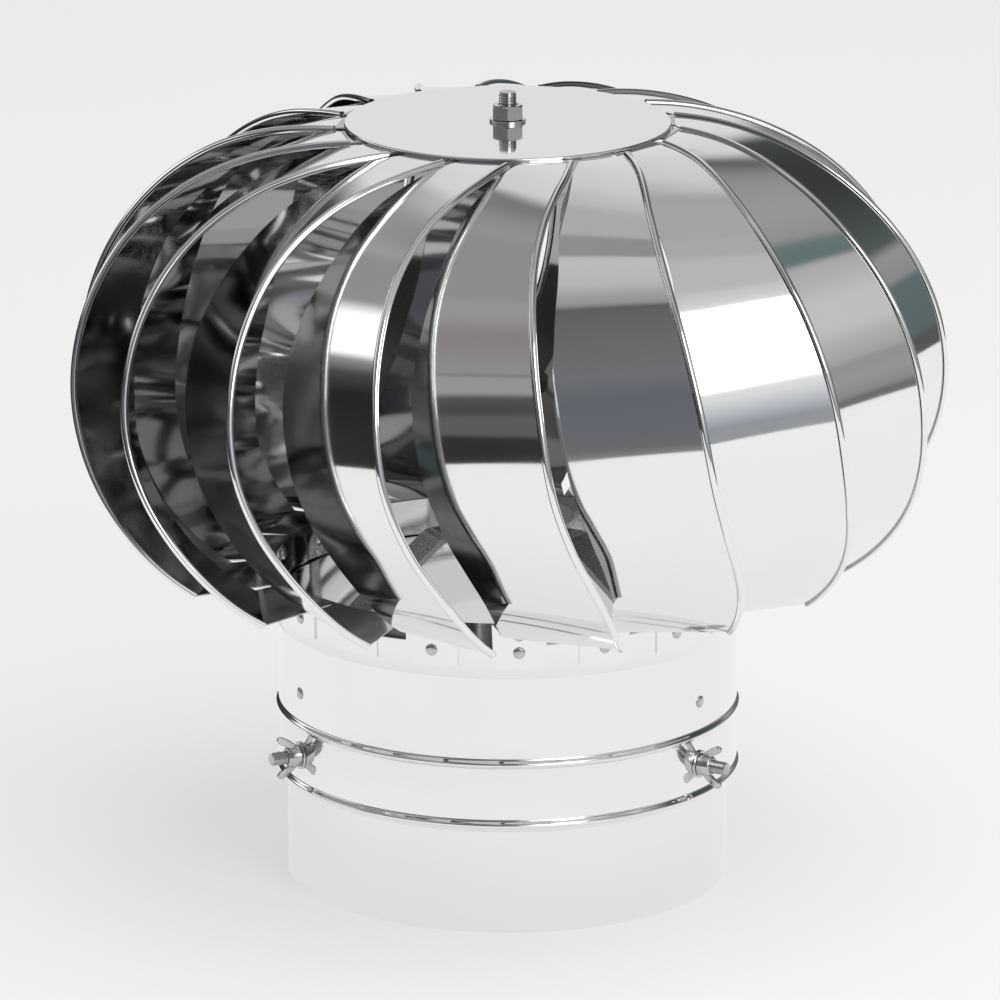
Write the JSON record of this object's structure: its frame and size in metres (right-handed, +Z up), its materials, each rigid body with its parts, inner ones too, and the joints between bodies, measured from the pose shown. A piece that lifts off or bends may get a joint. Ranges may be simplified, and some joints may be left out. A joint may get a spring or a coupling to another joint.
{
  "type": "roof turbine ventilator",
  "caption": "Wind-driven roof ventilator head of curved polished vanes, turning on a bearing shaft over a beaded collar that pushes into a 200 mm duct.",
  "frame": {"origin": "on the axis at the bottom rim of the collar", "axes": "+Z up along the axis of the duct and the head, -Y the front"},
  "size_m": [0.3903, 0.3918, 0.3584],
  "materials": {
    "polished_sheet": "mirror-polished stainless steel sheet",
    "rivet_steel": "plain bright steel blind rivets",
    "bright_fastener": "bright stainless fasteners, threads turned fine",
    "bearing_steel": "ground bearing steel",
    "cage_nylon": "natural moulded nylon",
    "seal_rubber": "black moulded rubber",
    "strap_steel": "plain mill-finish steel strap and plate",
    "housing_aluminium": "turned aluminium"
  },
  "bodies": {
    "base": {"collar": "polished_sheet", "spider_leg_1": "strap_steel", "spider_leg_2": "strap_steel", "spider_leg_3": "strap_steel", "bearing_housing": "housing_aluminium", "bearing_outer_rings": "bearing_steel", "circlips": "bearing_steel", "leg_screws": "bright_fastener", "leg_nuts": "bright_fastener", "spider_bolts": "bright_fastener", "bolt_washers": "bright_fastener", "wing_nuts": "bright_fastener", "leg_rivets": "rivet_steel"},
    "head": {"blade_01": "polished_sheet", "blade_02": "polished_sheet", "blade_03": "polished_sheet", "blade_04": "polished_sheet", "blade_05": "polished_sheet", "blade_06": "polished_sheet", "blade_07": "polished_sheet", "blade_08": "polished_sheet", "blade_09": "polished_sheet", "blade_10": "polished_sheet", "blade_11": "polished_sheet", "blade_12": "polished_sheet", "blade_13": "polished_sheet", "blade_14": "polished_sheet", "blade_15": "polished_sheet", "blade_16": "polished_sheet", "blade_17": "polished_sheet", "bottom_ring": "polished_sheet", "hub_plate": "strap_steel", "top_disc": "polished_sheet", "upper_rivets": "rivet_steel", "lower_rivets": "rivet_steel", "shaft": "bright_fastener", "shaft_nuts": "bright_fastener", "shaft_washers": "bright_fastener", "hub_spacer": "bright_fastener", "dust_cap": "seal_rubber", "bearing_inner_rings": "bearing_steel", "spacer_sleeve": "bearing_steel", "race_washer": "bearing_steel"},
    "ball_set": {"bearing_balls": "bearing_steel", "bearing_cages": "cage_nylon"}
  },
  "joints": [
    {"name": "head_spin", "type": "hinge", "parent": "base", "child": "head", "pos_m": [0, 0, 0.18], "axis": [0, 0, 1], "continuous": true},
    {"name": "ball_spin", "type": "hinge", "parent": "base", "child": "ball_set", "pos_m": [0, 0, 0.18], "axis": [0, 0, 1], "continuous": true}
  ],
  "couplings": [
    {"joint": "ball_spin", "follows": "head_spin", "ratio": 0.3686}
  ]
}
